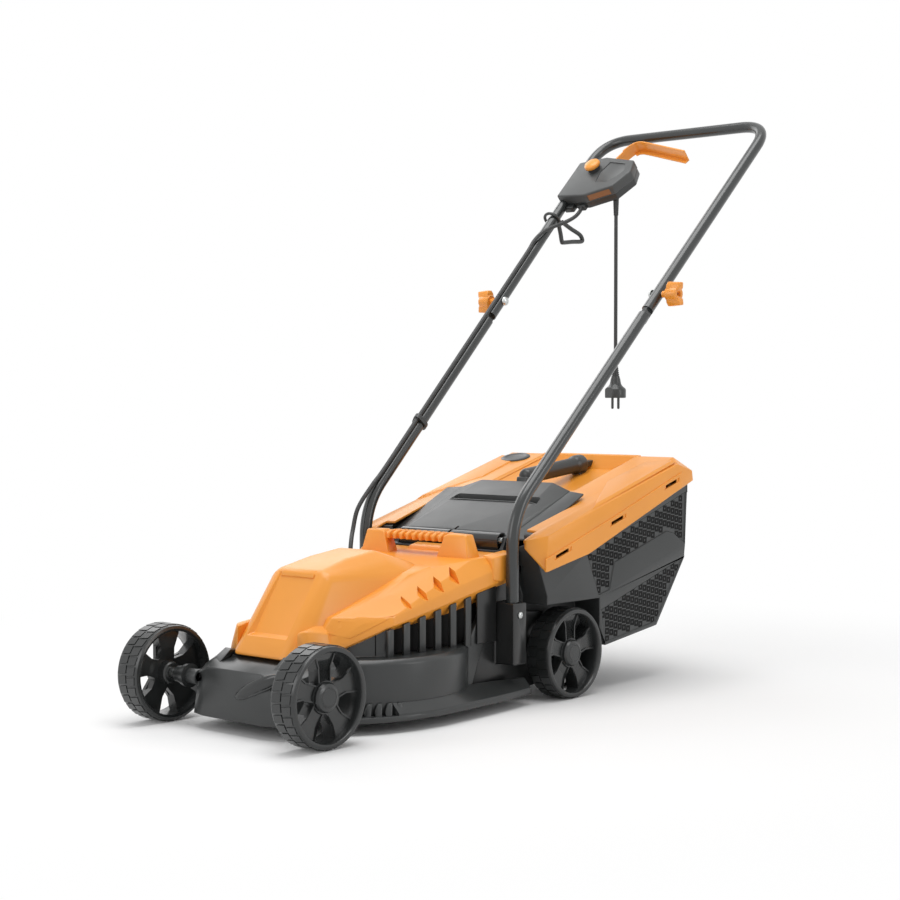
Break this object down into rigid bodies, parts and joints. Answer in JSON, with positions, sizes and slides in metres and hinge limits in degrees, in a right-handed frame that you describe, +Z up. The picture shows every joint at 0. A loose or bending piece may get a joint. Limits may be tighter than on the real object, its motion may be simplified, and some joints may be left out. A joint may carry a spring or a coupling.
{
  "type": "push lawn mower",
  "caption": "Electric push lawn mower with an orange motor hood, spoked plastic wheels, a rear grass box and a U-shaped folding handle with a switch box, lever and short mains lead.",
  "frame": {"origin": "on the floor, centred under the whole mower with its handle up", "axes": "+X across the mower, to the left of a person pushing it forwards; +Y from the front wheels back to the handle; +Z up"},
  "size_m": [0.426, 1.1614, 0.9439],
  "materials": {
    "orange_plastic": "moulded, satin gloss",
    "black_plastic": "fine moulded texture",
    "dark_grey_plastic": "moulded, satin",
    "painted_steel_tube": "semi-gloss powder coat",
    "zinc_plated_steel": "bright zinc plate",
    "bare_steel": "ground and oiled",
    "cast_aluminium": "as cast",
    "black_rubber": "matte"
  },
  "bodies": {
    "base": {"deck_housing": "black_plastic", "lawn_comb_left": "black_plastic", "lawn_comb_right": "black_plastic", "motor_hood": "orange_plastic", "carry_handle": "orange_plastic", "side_vent_left": "black_plastic", "side_vent_right": "black_plastic", "motor_bell_lower": "cast_aluminium", "motor_bell_upper": "cast_aluminium", "motor_stator": "bare_steel", "bearing_lower": "zinc_plated_steel", "bearing_upper": "zinc_plated_steel", "start_capacitor": "cast_aluminium", "stub_axle_front_left": "zinc_plated_steel", "stub_axle_front_right": "zinc_plated_steel", "stub_axle_rear_left": "zinc_plated_steel", "stub_axle_rear_right": "zinc_plated_steel", "lower_tube_left": "painted_steel_tube", "socket_screw_left": "zinc_plated_steel", "lower_tube_right": "painted_steel_tube", "socket_screw_right": "zinc_plated_steel", "motor_lead_lower": "black_rubber", "cable_clip": "black_plastic", "flap_hinge_pin": "zinc_plated_steel", "flap_spring": "zinc_plated_steel"},
    "wheel_set_front_left": {"wheel_front_left": "black_plastic", "hub_cap_front_left": "black_plastic"},
    "wheel_set_front_right": {"wheel_front_right": "black_plastic", "hub_cap_front_right": "black_plastic"},
    "wheel_set_rear_left": {"wheel_rear_left": "black_plastic", "hub_cap_rear_left": "black_plastic"},
    "wheel_set_rear_right": {"wheel_rear_right": "black_plastic", "hub_cap_rear_right": "black_plastic"},
    "rotor": {"rotor_armature": "bare_steel", "cooling_fan": "black_plastic", "blade_carrier": "black_plastic", "cutting_blade": "bare_steel", "blade_washer": "zinc_plated_steel", "blade_bolt": "zinc_plated_steel"},
    "upper_handle": {"upper_tube": "painted_steel_tube", "pivot_bolt_left": "zinc_plated_steel", "pivot_bolt_right": "zinc_plated_steel", "switch_case_lower": "black_plastic", "switch_case_upper": "black_plastic", "micro_switch": "black_plastic", "cord_gland": "black_rubber", "mains_cord": "black_rubber", "mains_plug": "black_rubber", "cable_hook": "black_plastic", "motor_lead_upper": "black_rubber"},
    "left_knob": {"wing_knob_left": "orange_plastic"},
    "right_knob": {"wing_knob_right": "orange_plastic"},
    "lever": {"switch_lever": "orange_plastic"},
    "button": {"lock_button": "orange_plastic"},
    "flap": {"discharge_flap": "black_plastic"},
    "grass_box": {"box_lid": "orange_plastic", "box_tub_left": "dark_grey_plastic", "box_tub_right": "dark_grey_plastic", "box_grip": "black_plastic"},
    "indicator": {"fill_indicator": "black_plastic"}
  },
  "joints": [
    {"name": "front_left_wheel_roll", "type": "hinge", "parent": "base", "child": "wheel_set_front_left", "pos_m": [0.1572, -0.51131, 0.0694], "axis": [1, 0, 0], "continuous": true},
    {"name": "front_right_wheel_roll", "type": "hinge", "parent": "base", "child": "wheel_set_front_right", "pos_m": [-0.1572, -0.51131, 0.0694], "axis": [1, 0, 0], "continuous": true},
    {"name": "rear_left_wheel_roll", "type": "hinge", "parent": "base", "child": "wheel_set_rear_left", "pos_m": [0.1572, 0.01569, 0.0694], "axis": [1, 0, 0], "continuous": true},
    {"name": "rear_right_wheel_roll", "type": "hinge", "parent": "base", "child": "wheel_set_rear_right", "pos_m": [-0.1572, 0.01569, 0.0694], "axis": [1, 0, 0], "continuous": true},
    {"name": "rotor_spin", "type": "hinge", "parent": "base", "child": "rotor", "pos_m": [0, -0.28631, 0.045], "axis": [0, 0, 1], "continuous": true},
    {"name": "handle_fold", "type": "hinge", "parent": "base", "child": "upper_handle", "pos_m": [0, 0.24929, 0.6255], "axis": [1, 0, 0], "range_deg": [0, 150], "deforming": ["motor_lead_upper", "motor_lead_lower"]},
    {"name": "left_knob_turn", "type": "hinge", "parent": "upper_handle", "child": "left_knob", "pos_m": [0.195, 0.24929, 0.6255], "axis": [1, 0, 0], "continuous": true},
    {"name": "right_knob_turn", "type": "hinge", "parent": "upper_handle", "child": "right_knob", "pos_m": [-0.195, 0.24929, 0.6255], "axis": [1, 0, 0], "continuous": true},
    {"name": "lever_squeeze", "type": "hinge", "parent": "upper_handle", "child": "lever", "pos_m": [-0.118, 0.50041, 0.86642], "axis": [0, -0.6923, 0.7216], "range_deg": [0, 10], "stiffness_Nm_per_rad": 2, "springref_deg": -8.59},
    {"name": "button_press", "type": "slide", "parent": "upper_handle", "child": "button", "axis": [0, 0.6923, -0.7216], "range_m": [0, 0.004], "stiffness_N_per_m": 400, "springref_m": -0.002},
    {"name": "flap_lift", "type": "hinge", "parent": "base", "child": "flap", "pos_m": [0, -0.06631, 0.242], "axis": [1, 0, 0], "range_deg": [0, 65], "stiffness_Nm_per_rad": 0.15, "springref_deg": -17.19},
    {"name": "grass_box_pull", "type": "slide", "parent": "base", "child": "grass_box", "axis": [0, 1, 0], "range_m": [0, 0.25]},
    {"name": "indicator_lift", "type": "hinge", "parent": "grass_box", "child": "indicator", "pos_m": [-0.14, 0.23969, 0.3474], "axis": [1, 0, 0], "range_deg": [0, 25]}
  ]
}
